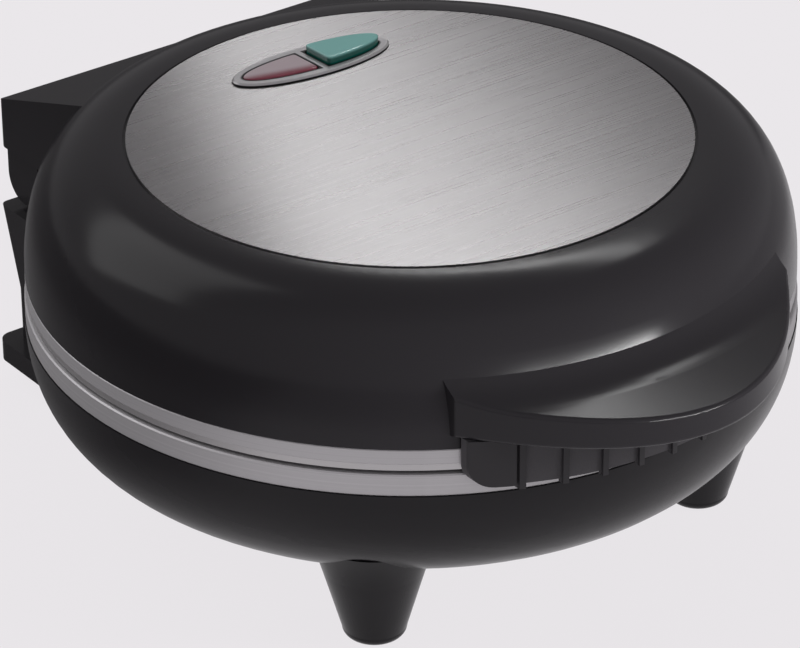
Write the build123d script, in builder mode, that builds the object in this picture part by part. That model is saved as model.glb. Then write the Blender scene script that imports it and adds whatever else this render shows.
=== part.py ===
from build123d import *
import os

# Round omelette maker: a bowl-shaped base on four legs and a hinged lid with a front handle.
# Lengths in millimetres, +Z up, the handle at -Y and the hinge at +Y.
# The origin is on the floor, midway between the handle's tip and the hinge housing's back.

# Round body
base_radius = 112.7
lid_setback = 0.7
handle_reach = 24.8
hinge_reach = 15.6
shell_wall = 2.6
curve_fullness = 0.655
parting_height = 69.1
parting_gap = 1.0
rim_height = 6.7
lid_height = 39.2
crown_margin = 29.5
bowl_depth = 41.6
bowl_floor_margin = 52.3

# Steel disc on the crown
disc_edge = 0.2
disc_thickness = 0.8
disc_groove = 0.9
disc_proud = 0.2
deck_thickness = 2.4

# Cooking plates
flange_margin = 7.7
flange_thickness = 3.6
plate_lip_height = 1.9
plate_lip_setback = 0.5
pocket_margin = 19.0
pocket_spacing = 12.0
pocket_depth = 14.0
pocket_wall = 3.0
pocket_draft = 14.0
pocket_corner = 12.0
pocket_floor_fillet = 4.0
stud_margin = 19.0
stud_y = 28.0
stud_radius = 4.5

# Heating elements and the shields behind them
element_radius = 3.3
element_side_inset = 4.2
element_end_inset = 11.2
element_pin_radius = 1.2
element_pin_length = 6.0
seat_gap = 0.2
shield_distance = 10.5
shield_thickness = 0.8
shield_taper = 12.6
shield_margin = 6.4
shield_flange_width = 4.0
shield_slot_width = 12.0
shield_wire_hole = 4.0
rim_ledge_width = 5.4
rim_inner_gap = 0.3
band_setback = 0.3
band_chamfer = 0.4

# Screws
screw_radius = 1.9
screw_play = 0.15
screw_head_radius = 3.6
screw_head_height = 2.0
screw_engagement = 7.0
screw_recess = 3.0
cross_length = 4.2
cross_width = 0.9
cross_depth = 1.1
post_radius = 5.0

# Legs and pads
leg_margin_x = 53.1
leg_margin_y = 51.2
leg_tip_radius = 9.3
leg_root_radius = 15.0
leg_flare_radius = 19.5
leg_flare_rise = 15.7
leg_cone_rise = 3.7
leg_tip_fillet = 3.0
pad_radius = 6.0
pad_thickness = 2.4
pad_proud = 0.8
pad_play = 0.1

# Handle on the lid
handle_half_width = 58.8
handle_curve = 86.0
handle_rise = 4.2
handle_lip = 8.6
handle_ramp = 1.5
handle_ramp_width = 17.0
handle_crease_rise = 6.4
handle_crease_inset = 3.4
handle_root_depth = 10.3
handle_wall = 2.6
handle_edge = 1.2
guard_radius = 97.5
guard_setback = 19.4
guard_inset = 1.8
guard_thickness = 1.6
guard_drop = 14.4
guard_rib_pitch = 11.1
guard_rib_count = 9
guard_rib_width = 1.6
guard_rib_proud = 1.1
guard_rib_drop = 1.2
guard_floor_thickness = 2.0
guard_end_width = 11.0
guard_end_radius = 6.0
guard_play = 0.2

# Hinge
hinge_inset = 8.8
knuckle_radius = 8.4
knuckle_gap = 0.4
base_knuckle_inner = 22.0
base_knuckle_width = 15.0
lid_housing_half_width = 59.8
lid_housing_rise = 17.7
lid_housing_lift = 9.4
lid_housing_lap = 16.5
housing_edge_fillet = 3.0
knuckle_inset = 2.4
hollow_depth = 38.3
pin_radius = 2.5
pin_play = 0.05
pin_end = 4.0
pin_cap = 2.0
pin_chamfer = 0.3

# Rear housing of the base
neck_top_overhang = 1.8
neck_side_inset = 2.4
neck_back_inset = 3.7
neck_edge_inset = 1.1
neck_waist_rise = 24.0
neck_top_gap = 2.5
neck_bottom_z = 7.0
neck_root = 38.7
neck_corner = 2.5
foot_overhang = 6.3
foot_height = 6.8
foot_length = 31.5
foot_corner = 4.5

# Cord inlet
inlet_rise = 33.0
cord_bore_radius = 3.6
inlet_sleeve_radius = 5.2
inlet_flange_radius = 8.0
inlet_flange_edge = 0.7
inlet_nut_thickness = 2.6
inlet_flange_thickness = 2.3
inlet_boss_margin = 2.0
inlet_play = 0.15

# Pilot lights
window_inset = 29.0
window_turn = 4.0
bezel_long = 26.7
bezel_short = 9.4
bezel_height = 1.1
bezel_rim = 3.2
bezel_neck_inset = 1.6
window_play = 0.3
lens_edge_fillet = 0.5
window_corner = 1.2
lens_split_x = 0.2
lens_split_gap = 2.8
lens_split_lean = 7.0
ready_lens_height = 2.4
power_lens_height = 0.3
lens_foot = 1.2
lens_foot_thickness = 1.4
holder_wall = 1.6
holder_depth = 8.0
holder_play = 0.1
lamp_radius = 2.2
lamp_length = 11.0
lamp_offset_x = 12.0
lamp_end_fillet = 1.3

# Controls and wiring
thermostat_radius = 8.0
thermostat_height = 6.0
thermostat_edge = 1.0
thermostat_x = 30.0
tab_width = 6.3
tab_thickness = 0.8
tab_length = 3.2
block_length = 30.0
block_width = 14.0
block_height = 11.0
block_bore = 2.0
block_bore_pitch = 10.0
block_bore_depth = 4.6
block_corner = 1.0
block_inset = 15.5
clamp_length = 24.0
clamp_width = 8.0
clamp_height = 5.0
clamp_corner = 2.0
clamp_inset = 7.5
lead_turn = 9.0
lead_bend = 5.4
wire_radius = 1.3
fuse_radius = 2.0
fuse_length = 11.0
fuse_end_fillet = 0.6
face_tolerance = 0.1

# Reaches from the round body's own axis
lid_radius = base_radius - lid_setback
front_reach = base_radius + handle_reach
rear_reach = base_radius + hinge_reach
body_y = (front_reach - rear_reach) / 2
crown_radius = lid_radius - crown_margin
bowl_floor_radius = base_radius - bowl_floor_margin
disc_radius = crown_radius - disc_groove - disc_edge
flange_radius = base_radius - flange_margin
pocket_radius = flange_radius - pocket_margin
shield_flange_radius = flange_radius - shield_margin
shield_floor_radius = shield_flange_radius - shield_taper
rim_ledge_radius = flange_radius - rim_ledge_width
leg_x = base_radius - leg_margin_x
leg_y = base_radius - leg_margin_y
window_y = crown_radius - window_inset

# Heights that follow from the sizes above
base_rim_top = parting_height - parting_gap / 2
base_rim_bottom = base_rim_top - rim_height
lid_rim_bottom = parting_height + parting_gap / 2
lid_rim_top = lid_rim_bottom + rim_height
lid_top = lid_rim_top + lid_height
disc_seat = lid_top + disc_proud - disc_thickness
disc_top = disc_seat + disc_thickness
deck_underside = disc_seat - deck_thickness
bowl_floor = base_rim_bottom - bowl_depth
pocket_back = pocket_depth + pocket_wall
shield_back = pocket_back + shield_distance
stud_tip = shield_back - shield_thickness
leg_flare_height = bowl_floor + leg_flare_rise
leg_cone_height = bowl_floor + leg_cone_rise

# Handle, guard, hinge and rear housing
handle_bottom = lid_rim_top + handle_rise
handle_tip_height = handle_bottom + handle_lip
handle_ramp_height = handle_tip_height + handle_ramp
handle_ramp_radius = front_reach - handle_ramp_width
handle_crease_height = handle_ramp_height + handle_crease_rise
handle_crease_radius = lid_radius - handle_crease_inset
handle_root_y = front_reach - handle_half_width ** 2 / handle_curve - handle_root_depth
guard_bottom = handle_bottom - guard_drop
guard_centre_y = guard_setback + guard_radius - front_reach
guard_half_width = handle_half_width - guard_inset
guard_end_inner = guard_half_width - guard_end_width
hinge_y = rear_reach - hinge_inset
hinge_z = parting_height
lid_knuckle_inner = base_knuckle_inner + base_knuckle_width + knuckle_gap
lid_knuckle_outer = lid_housing_half_width - knuckle_inset
lid_housing_top = lid_rim_top + lid_housing_rise
lid_housing_bottom = hinge_z + lid_housing_lift
lid_housing_front_y = crown_radius - lid_housing_lap
lid_housing_front_z = disc_seat
hollow_front_y = rear_reach - hollow_depth
neck_top_half_width = lid_housing_half_width + neck_top_overhang
neck_half_width = neck_top_half_width - neck_side_inset
neck_top_y = rear_reach - neck_edge_inset
neck_y = neck_top_y - neck_back_inset
neck_waist_z = neck_bottom_z + neck_waist_rise
neck_top_z = base_rim_bottom - neck_top_gap
neck_front_y = base_radius - neck_root
foot_half_width = neck_half_width + foot_overhang
foot_top_z = neck_bottom_z + foot_height
foot_front_y = neck_y - foot_length
inlet_height = neck_bottom_z + inlet_rise
element_leg_x = neck_half_width - element_side_inset
element_leg_y = ((flange_radius - element_end_inset) ** 2 - element_leg_x ** 2) ** 0.5
stud_x = element_leg_x - stud_margin
block_y = neck_y - block_inset
clamp_y = hinge_y - clamp_inset

# Ovals of the pilot lights
neck_long = bezel_long - bezel_neck_inset
neck_short = bezel_short - bezel_neck_inset
opening_long = bezel_long - bezel_rim
opening_short = bezel_short - bezel_rim

BODY = Plane(origin=(0, body_y, 0))
SECTION = Plane(origin=(0, body_y, 0), x_dir=(1, 0, 0), z_dir=(0, -1, 0))
SIDE = Plane(origin=(0, body_y, 0), x_dir=(0, 1, 0), z_dir=(1, 0, 0))
BODY_AXIS = Axis((0, body_y, 0), (0, 0, 1))
PARTING = Plane(origin=(0, 0, parting_height))
WINDOW = Plane(
    BODY.location * Location((0, 0, 0), (0, 0, -window_turn)) * Location((0, window_y, 0))
)

os.makedirs("parts", exist_ok=True)


def write(piece, name):
    # Label a finished piece and write it under the same name.
    piece.part.label = name
    export_step(piece.part, "parts/" + name + ".step")


def lid_section(outer, crown, top):
    # Half section of the lid: a full quarter curve from the rim up to the crown, closed on the axis.
    rise = (top - lid_rim_top) * curve_fullness
    with BuildLine() as line:
        Bezier(
            (outer, lid_rim_top),
            (outer, lid_rim_top + rise),
            (crown + (outer - crown) * curve_fullness, top),
            (crown, top),
        )
        Polyline((crown, top), (0, top), (0, lid_rim_top), (outer, lid_rim_top))
    return line.line


def bowl_section(inset):
    # Half section of the bowl: a full quarter curve from the rim down to the flat floor.
    outer = base_radius - inset
    floor_radius = bowl_floor_radius - inset
    floor = bowl_floor + inset
    drop = (base_rim_bottom - floor) * curve_fullness
    with BuildLine() as line:
        Bezier(
            (outer, base_rim_bottom),
            (outer, base_rim_bottom - drop),
            (floor_radius + (outer - floor_radius) * curve_fullness, floor),
            (floor_radius, floor),
        )
        Polyline((floor_radius, floor), (0, floor), (0, base_rim_bottom), (outer, base_rim_bottom))
    return line.line


def handle_outline(inset):
    # Plan of the handle: a parabola from side to side, closed by a straight root inside the lid.
    half = handle_half_width - inset
    tip = -front_reach + inset
    end = tip + half ** 2 / handle_curve
    with BuildLine() as line:
        Bezier((-half, end), (0, 2 * tip - end), (half, end))
        Polyline((half, end), (half, -handle_root_y), (-half, -handle_root_y), (-half, end))
    return line.line


def above_handle():
    # Half section of the space over the handle: a shallow ramp, then a hollow curve into the lid.
    ramp = (handle_ramp_radius - front_reach, handle_ramp)
    with BuildLine() as line:
        Line((front_reach, handle_tip_height), (handle_ramp_radius, handle_ramp_height))
        TangentArc(
            (handle_ramp_radius, handle_ramp_height),
            (handle_crease_radius, handle_crease_height),
            tangent=ramp,
        )
        Polyline(
            (handle_crease_radius, handle_crease_height),
            (handle_crease_radius, lid_top),
            (front_reach, lid_top),
            (front_reach, handle_tip_height),
        )
    return line.line


def pocket_outline(side, grow):
    # Half-moon of one pocket, on the side of the divider given by the sign.
    edge = side * (pocket_spacing / 2 - grow)
    radius = pocket_radius + grow
    reach = (radius ** 2 - edge ** 2) ** 0.5
    with BuildLine() as line:
        Line((edge, -reach), (edge, reach))
        ThreePointArc((edge, reach), (side * radius, 0), (edge, -reach))
    return line.line


def guard_strip(inner, outer, start, stop):
    # Plan of a stretch of the guard's wall, between two radii and two distances across.
    middle = (start + stop) / 2

    def on(radius, across):
        return (across, guard_centre_y - (radius ** 2 - across ** 2) ** 0.5)

    with BuildLine() as line:
        ThreePointArc(on(outer, start), on(outer, middle), on(outer, stop))
        Line(on(outer, stop), on(inner, stop))
        ThreePointArc(on(inner, stop), on(inner, middle), on(inner, start))
        Line(on(inner, start), on(outer, start))
    return line.line


def leg_section():
    # Half section of a leg: rounded tip, cone, then a hollow flare that runs into the bowl.
    with BuildLine() as line:
        Polyline((0, leg_flare_height), (0, pad_proud), (leg_tip_radius - leg_tip_fillet, pad_proud))
        RadiusArc(
            (leg_tip_radius - leg_tip_fillet, pad_proud),
            (leg_tip_radius, pad_proud + leg_tip_fillet),
            -leg_tip_fillet,
        )
        Line((leg_tip_radius, pad_proud + leg_tip_fillet), (leg_root_radius, leg_cone_height))
        TangentArc(
            (leg_root_radius, leg_cone_height),
            (leg_flare_radius, leg_flare_height),
            tangent=(
                leg_root_radius - leg_tip_radius,
                leg_cone_height - pad_proud - leg_tip_fillet,
            ),
        )
        Line((leg_flare_radius, leg_flare_height), (0, leg_flare_height))
    return line.line


def cooking_plate(lip_radius):
    # Plate of the base: a flange with two half-moon pockets and four threaded studs below.
    top = base_rim_top
    with BuildPart() as plate:
        with BuildSketch(BODY.offset(top)):
            Circle(lip_radius)
        extrude(amount=-plate_lip_height)
        with BuildSketch(BODY.offset(top - plate_lip_height)):
            Circle(flange_radius)
        extrude(amount=-(flange_thickness - plate_lip_height))
        for side in (-1, 1):
            with BuildSketch(BODY.offset(top - flange_thickness / 2)):
                make_face(pocket_outline(side, pocket_wall))
                fillet(vertices(), pocket_corner + pocket_wall)
            extrude(amount=-(pocket_back - flange_thickness / 2), taper=pocket_draft)
        for side in (-1, 1):
            with BuildSketch(BODY.offset(top)):
                make_face(pocket_outline(side, 0))
                fillet(vertices(), pocket_corner)
            extrude(amount=-pocket_depth, taper=pocket_draft, mode=Mode.SUBTRACT)
        floor = top - pocket_depth
        pocket_floors = (
            plate.faces()
            .filter_by(Axis.Z)
            .filter_by_position(Axis.Z, floor - face_tolerance, floor + face_tolerance)
        )
        fillet(pocket_floors.edges(), pocket_floor_fillet)
        with BuildSketch(BODY.offset(top - pocket_back)):
            with GridLocations(2 * stud_x, 2 * stud_y, 2, 2):
                Circle(stud_radius)
        extrude(amount=-(stud_tip - pocket_back))
        with BuildSketch(BODY.offset(top - stud_tip)):
            with GridLocations(2 * stud_x, 2 * stud_y, 2, 2):
                Circle(screw_radius + screw_play)
        extrude(amount=screw_engagement + screw_play, mode=Mode.SUBTRACT)
    return plate


def heating_element():
    # Sheathed tube bent into a horseshoe under the pockets, with a cold pin at each end.
    centre = base_rim_top - pocket_back - seat_gap - element_radius
    with BuildPart() as element:
        with BuildLine(BODY.offset(centre)) as path:
            Line((-element_leg_x, element_leg_y), (-element_leg_x, 0))
            ThreePointArc((-element_leg_x, 0), (0, -element_leg_x), (element_leg_x, 0))
            Line((element_leg_x, 0), (element_leg_x, element_leg_y))
        with BuildSketch(Plane(origin=path.line @ 0, z_dir=path.line % 0)):
            Circle(element_radius)
        sweep()
        for side in (-1, 1):
            pin_start = (side * element_leg_x, body_y + element_leg_y, centre)
            with BuildSketch(Plane(origin=pin_start, z_dir=(0, 1, 0))):
                Circle(element_pin_radius)
            extrude(amount=element_pin_length)
    return element


def heat_shield():
    # Steel dish behind the element, hung from the plate's flange and screwed to its studs.
    flange_top = base_rim_top - flange_thickness
    floor_top = base_rim_top - stud_tip
    floor_bottom = floor_top - shield_thickness
    flange_inner = shield_flange_radius - shield_flange_width
    leg_height = base_rim_top - pocket_back - seat_gap - element_radius
    with BuildPart() as shield:
        with BuildSketch(SECTION):
            with BuildLine():
                Polyline(
                    (0, floor_bottom),
                    (shield_floor_radius, floor_bottom),
                    (flange_inner, flange_top - shield_thickness),
                    (shield_flange_radius, flange_top - shield_thickness),
                    (shield_flange_radius, flange_top),
                    (flange_inner - shield_thickness, flange_top),
                    (shield_floor_radius - shield_thickness, floor_top),
                    (0, floor_top),
                    close=True,
                )
            make_face()
        revolve(axis=BODY_AXIS)
        for side in (-1, 1):
            slot_start = (side * element_leg_x, body_y + element_leg_y / 2, leg_height)
            with BuildSketch(Plane(origin=slot_start, z_dir=(0, 1, 0))):
                Circle(shield_slot_width / 2 - shield_thickness)
            extrude(amount=element_leg_y, mode=Mode.SUBTRACT)
        with BuildSketch(BODY.offset(floor_bottom)):
            with GridLocations(2 * stud_x, 2 * stud_y, 2, 2):
                Circle(screw_radius + 2 * screw_play)
            with Locations((thermostat_x, 0)):
                Circle(shield_wire_hole)
        extrude(amount=shield_thickness, mode=Mode.SUBTRACT)
    return shield


def screws(seat, tip):
    # Four pan-head screws whose heads sit at one height and whose ends reach the other.
    away = -1 if tip > seat else 1
    with BuildPart() as group:
        with BuildSketch(BODY.offset(seat)):
            with GridLocations(2 * stud_x, 2 * stud_y, 2, 2):
                Circle(screw_head_radius)
        extrude(amount=away * screw_head_height)
        with BuildSketch(BODY.offset(seat)):
            with GridLocations(2 * stud_x, 2 * stud_y, 2, 2):
                Circle(screw_radius)
        extrude(amount=tip - seat)
        with BuildSketch(BODY.offset(seat + away * screw_head_height)):
            with GridLocations(2 * stud_x, 2 * stud_y, 2, 2):
                Rectangle(cross_length, cross_width)
                Rectangle(cross_width, cross_length)
        extrude(amount=-away * cross_depth, mode=Mode.SUBTRACT)
    return group


def mirrored(piece):
    # The same piece turned over about the parting height, for the lid.
    with BuildPart() as copy:
        mirror(piece.part, about=PARTING)
    return copy


# Base housing: bowl, legs, rear housing, hinge knuckles and screw posts in one moulding
post_top = base_rim_top - shield_back
base_seat = bowl_floor + screw_recess
neck_floor = bowl_floor + shell_wall
chamber_floor = neck_bottom_z + shell_wall
rear_face = rear_reach - inlet_flange_thickness
inlet_wall = rear_face - neck_y + shell_wall + inlet_boss_margin
with BuildPart() as base_housing:
    with BuildSketch(SECTION):
        make_face(bowl_section(0))
    revolve(axis=BODY_AXIS)
    for x_side in (-1, 1):
        for y_side in (-1, 1):
            leg_foot = (x_side * leg_x, body_y + y_side * leg_y, 0)
            with BuildSketch(Plane(origin=leg_foot, x_dir=(1, 0, 0), z_dir=(0, -1, 0))):
                make_face(leg_section())
            revolve(axis=Axis(leg_foot, (0, 0, 1)))
    for height, half_width, rear in (
        (neck_bottom_z, neck_half_width, neck_y),
        (neck_waist_z, neck_half_width, neck_y),
        (neck_top_z, neck_top_half_width, neck_top_y),
    ):
        with BuildSketch(BODY.offset(height)):
            with Locations((0, (neck_front_y + rear) / 2)):
                RectangleRounded(2 * half_width, rear - neck_front_y, neck_corner)
    loft(ruled=True)
    with BuildSketch(SIDE):
        with BuildLine():
            Polyline(
                (neck_front_y, neck_bottom_z),
                (foot_front_y, neck_bottom_z),
                (neck_front_y, bowl_floor),
                close=True,
            )
        make_face()
    extrude(amount=neck_top_half_width, both=True, mode=Mode.SUBTRACT)
    with BuildSketch(BODY.offset(neck_bottom_z)):
        with Locations((0, (foot_front_y + neck_top_y) / 2)):
            RectangleRounded(2 * foot_half_width, neck_top_y - foot_front_y, foot_corner)
    extrude(amount=foot_top_z - neck_bottom_z)
    with BuildSketch(SECTION):
        make_face(bowl_section(shell_wall))
    revolve(axis=BODY_AXIS, mode=Mode.SUBTRACT)
    for height, half_width, rear in (
        (neck_floor, neck_half_width, neck_y),
        (neck_waist_z, neck_half_width, neck_y),
        (neck_top_z - shell_wall, neck_top_half_width, neck_top_y),
    ):
        with BuildSketch(BODY.offset(height)):
            with Locations((0, (neck_front_y + rear) / 2 - shell_wall / 2)):
                Rectangle(2 * (half_width - shell_wall), rear - neck_front_y - shell_wall)
    loft(ruled=True, mode=Mode.SUBTRACT)
    with BuildSketch(BODY.offset(chamber_floor)):
        with Locations((0, (foot_front_y + neck_y) / 2)):
            Rectangle(
                2 * (neck_half_width - shell_wall),
                neck_y - foot_front_y - 2 * shell_wall,
            )
    extrude(amount=neck_floor - chamber_floor, mode=Mode.SUBTRACT)
    for side in (-1, 1):
        knuckle_start = side * base_knuckle_inner
        with BuildSketch(SIDE.offset(knuckle_start)):
            with Locations((hinge_y, hinge_z)):
                Circle(knuckle_radius)
            with Locations((hinge_y - knuckle_radius, neck_top_z - shell_wall)):
                Rectangle(
                    neck_top_y - hinge_y + knuckle_radius,
                    hinge_z - neck_top_z + shell_wall,
                    align=(Align.MIN, Align.MIN),
                )
        extrude(amount=side * base_knuckle_width)
        with BuildSketch(SIDE.offset(knuckle_start + side * pin_cap)):
            with Locations((hinge_y, hinge_z)):
                Circle(pin_radius + pin_play / 2)
        extrude(amount=side * base_knuckle_width, mode=Mode.SUBTRACT)
    with BuildSketch(Plane(origin=(0, body_y + rear_face, inlet_height), z_dir=(0, 1, 0))):
        Circle(inlet_flange_radius + inlet_boss_margin)
    extrude(amount=-inlet_wall)
    with BuildSketch(Plane(origin=(0, body_y + rear_face, inlet_height), z_dir=(0, 1, 0))):
        Circle(inlet_sleeve_radius + inlet_play)
    extrude(amount=-inlet_wall, mode=Mode.SUBTRACT)
    with BuildSketch(BODY.offset(bowl_floor + shell_wall)):
        with GridLocations(2 * stud_x, 2 * stud_y, 2, 2):
            Circle(post_radius)
    extrude(amount=post_top - bowl_floor - shell_wall)
    with BuildSketch(BODY.offset(bowl_floor)):
        with GridLocations(2 * stud_x, 2 * stud_y, 2, 2):
            Circle(screw_radius + 2 * screw_play)
    extrude(amount=post_top - bowl_floor, mode=Mode.SUBTRACT)
    with BuildSketch(BODY.offset(bowl_floor)):
        with GridLocations(2 * stud_x, 2 * stud_y, 2, 2):
            Circle(screw_head_radius + 2 * screw_play)
    extrude(amount=screw_recess, mode=Mode.SUBTRACT)
    with BuildSketch(BODY.offset(pad_proud)):
        with GridLocations(2 * leg_x, 2 * leg_y, 2, 2):
            Circle(pad_radius + pad_play)
    extrude(amount=pad_thickness - pad_proud, mode=Mode.SUBTRACT)
write(base_housing, "base_housing")

# Rubber pads let into the leg tips
with BuildPart() as foot_pads:
    with BuildSketch(BODY):
        with GridLocations(2 * leg_x, 2 * leg_y, 2, 2):
            Circle(pad_radius)
    extrude(amount=pad_thickness)
    chamfer(foot_pads.edges().group_by(Axis.Z)[0], pad_proud / 2)
write(foot_pads, "foot_pads")

# Metal band around the base, with the ledge that carries the lower plate
with BuildPart() as base_rim_band:
    with BuildSketch(BODY.offset(base_rim_bottom)):
        Circle(base_radius - band_setback)
        Circle(rim_ledge_radius, mode=Mode.SUBTRACT)
    extrude(amount=rim_height - flange_thickness)
    with BuildSketch(BODY.offset(base_rim_top - flange_thickness)):
        Circle(base_radius - band_setback)
        Circle(flange_radius + rim_inner_gap, mode=Mode.SUBTRACT)
    extrude(amount=flange_thickness)
    band_edges = base_rim_band.edges().filter_by(GeomType.CIRCLE).sort_by(SortBy.RADIUS)[-2:]
    chamfer(band_edges, band_chamfer)
write(base_rim_band, "base_rim_band")

# Metal band around the lid, above the visible lip of the upper plate
with BuildPart() as lid_rim_band:
    with BuildSketch(BODY.offset(lid_rim_bottom + plate_lip_height)):
        Circle(lid_radius)
        Circle(flange_radius + rim_inner_gap, mode=Mode.SUBTRACT)
    extrude(amount=flange_thickness - plate_lip_height)
    with BuildSketch(BODY.offset(lid_rim_bottom + flange_thickness)):
        Circle(lid_radius)
        Circle(rim_ledge_radius, mode=Mode.SUBTRACT)
    extrude(amount=rim_height - flange_thickness)
    band_edges = lid_rim_band.edges().filter_by(GeomType.CIRCLE).sort_by(SortBy.RADIUS)[-2:]
    chamfer(band_edges, band_chamfer)
write(lid_rim_band, "lid_rim_band")

# Cooking plates, elements and shields: the lid's are the base's turned over
lower_cooking_plate = cooking_plate(flange_radius)
write(lower_cooking_plate, "lower_cooking_plate")
upper_cooking_plate = mirrored(cooking_plate(lid_radius - plate_lip_setback))
write(upper_cooking_plate, "upper_cooking_plate")

lower_heating_element = heating_element()
write(lower_heating_element, "lower_heating_element")
upper_heating_element = mirrored(lower_heating_element)
write(upper_heating_element, "upper_heating_element")

lower_heat_shield = heat_shield()
write(lower_heat_shield, "lower_heat_shield")
upper_heat_shield = mirrored(lower_heat_shield)
write(upper_heat_shield, "upper_heat_shield")

# Screws: up through the base's posts, and down through the lid's posts under the steel disc
screw_tip = base_rim_top - stud_tip + screw_engagement
lid_seat = disc_seat - screw_recess
base_screws = screws(base_seat, screw_tip)
write(base_screws, "base_screws")
lid_screws = screws(lid_seat, 2 * parting_height - screw_tip)
write(lid_screws, "lid_screws")

# Handle: a lip that follows the parabola, under a ramp that hollows up into the lid's side
with BuildPart() as handle:
    with BuildSketch(BODY.offset(handle_bottom)):
        make_face(handle_outline(0))
    extrude(amount=handle_crease_height - handle_bottom)
    with BuildSketch(SECTION):
        make_face(above_handle())
    revolve(axis=BODY_AXIS, mode=Mode.SUBTRACT)
    fillet(handle.faces().sort_by(Axis.Y)[0].edges(), handle_edge)

# Lid cover: domed shell with the deck for the disc, the handle, the hinge housing and its knuckles
ramp_drop = (lid_housing_front_z - lid_housing_top) / (rear_reach - lid_housing_front_y)
hollow_rear_y = rear_reach - shell_wall
lid_post_bottom = 2 * parting_height - post_top
with BuildPart() as lid_cover:
    with BuildSketch(SECTION):
        make_face(lid_section(lid_radius, crown_radius, lid_top))
    revolve(axis=BODY_AXIS)
    add(handle.part)
    with BuildSketch(SIDE):
        with BuildLine():
            Polyline(
                (lid_housing_front_y, lid_housing_bottom),
                (rear_reach, lid_housing_bottom),
                (rear_reach, lid_housing_top),
                (lid_housing_front_y, lid_housing_front_z),
                close=True,
            )
        make_face()
    extrude(amount=lid_housing_half_width, both=True)
    housing_edges = lid_cover.edges().filter_by_position(
        Axis.Y, body_y + rear_reach - face_tolerance, body_y + rear_reach + face_tolerance
    )
    fillet(housing_edges, housing_edge_fillet)
    for side in (-1, 1):
        with BuildSketch(SIDE.offset(side * lid_knuckle_inner)):
            with Locations((hinge_y, hinge_z)):
                Circle(knuckle_radius)
            with Locations((hinge_y - knuckle_radius, hinge_z)):
                Rectangle(
                    2 * knuckle_radius,
                    lid_housing_bottom - hinge_z + shell_wall,
                    align=(Align.MIN, Align.MIN),
                )
        extrude(amount=side * (lid_knuckle_outer - lid_knuckle_inner))
    with BuildSketch(SECTION):
        make_face(lid_section(lid_radius - shell_wall, crown_radius - shell_wall, deck_underside))
    revolve(axis=BODY_AXIS, mode=Mode.SUBTRACT)
    with BuildSketch(SIDE):
        with BuildLine():
            Polyline(
                (hollow_front_y, lid_housing_bottom + shell_wall),
                (hollow_rear_y, lid_housing_bottom + shell_wall),
                (hollow_rear_y, lid_housing_top + ramp_drop * shell_wall - shell_wall),
                (
                    hollow_front_y,
                    lid_housing_top + ramp_drop * (rear_reach - hollow_front_y) - shell_wall,
                ),
                close=True,
            )
        make_face()
    extrude(amount=lid_housing_half_width - shell_wall, both=True, mode=Mode.SUBTRACT)
    for side in (-1, 1):
        with BuildSketch(SIDE.offset(side * lid_knuckle_inner)):
            with Locations((hinge_y, hinge_z)):
                Circle(pin_radius + pin_play)
        extrude(
            amount=side * (lid_knuckle_outer - pin_end - lid_knuckle_inner + pin_play),
            mode=Mode.SUBTRACT,
        )
    with BuildSketch(BODY.offset(handle_bottom)):
        make_face(handle_outline(handle_wall))
        Circle(lid_radius + rim_inner_gap, mode=Mode.SUBTRACT)
    extrude(amount=handle_lip - handle_wall, mode=Mode.SUBTRACT)
    with BuildSketch(BODY.offset(disc_seat)):
        Circle(disc_radius + disc_groove)
    extrude(amount=lid_top - disc_seat, mode=Mode.SUBTRACT)
    with BuildSketch(BODY.offset(deck_underside)):
        with GridLocations(2 * stud_x, 2 * stud_y, 2, 2):
            Circle(post_radius)
    extrude(amount=lid_post_bottom - deck_underside)
    with BuildSketch(BODY.offset(disc_seat)):
        with GridLocations(2 * stud_x, 2 * stud_y, 2, 2):
            Circle(screw_radius + 2 * screw_play)
    extrude(amount=lid_post_bottom - disc_seat, mode=Mode.SUBTRACT)
    with BuildSketch(BODY.offset(disc_seat)):
        with GridLocations(2 * stud_x, 2 * stud_y, 2, 2):
            Circle(screw_head_radius + 2 * screw_play)
    extrude(amount=-screw_recess, mode=Mode.SUBTRACT)
    with BuildSketch(WINDOW.offset(deck_underside)):
        Ellipse(neck_long + window_play, neck_short + window_play)
    extrude(amount=deck_thickness, mode=Mode.SUBTRACT)
write(lid_cover, "lid_cover")

# Brushed steel disc on the deck, covering the lid's screws
with BuildPart() as steel_disc:
    with BuildSketch(BODY.offset(disc_seat)):
        Circle(disc_radius)
    extrude(amount=disc_thickness)
    with BuildSketch(WINDOW.offset(disc_seat)):
        Ellipse(neck_long + window_play, neck_short + window_play)
    extrude(amount=disc_thickness, mode=Mode.SUBTRACT)
write(steel_disc, "steel_disc")


def window_half(side, long_radius, short_radius, gap):
    # One of the two windows: the oval on one side of the leaning divider.
    with BuildSketch() as window:
        Ellipse(long_radius, short_radius)
        with Locations(Location((lens_split_x + side * gap / 2, 0, 0), (0, 0, lens_split_lean))):
            Rectangle(
                2 * bezel_long,
                4 * bezel_long,
                align=(Align.MAX if side > 0 else Align.MIN, Align.CENTER),
                mode=Mode.SUBTRACT,
            )
        fillet(window.vertices(), window_corner)
    return window.sketch


# Oval bezel of the pilot lights: a rim on the disc and a neck down through the deck
with BuildPart() as light_bezel:
    with BuildSketch(WINDOW.offset(deck_underside)):
        Ellipse(neck_long, neck_short)
    extrude(amount=disc_top - deck_underside)
    with BuildSketch(WINDOW.offset(disc_top)):
        Ellipse(bezel_long, bezel_short)
    extrude(amount=bezel_height)
    chamfer(light_bezel.edges().group_by(Axis.Z)[-1], bezel_height / 2)
    for side in (-1, 1):
        with BuildSketch(WINDOW.offset(deck_underside)):
            add(window_half(side, opening_long, opening_short, lens_split_gap))
        extrude(amount=disc_top + bezel_height - deck_underside, mode=Mode.SUBTRACT)
write(light_bezel, "light_bezel")


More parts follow.
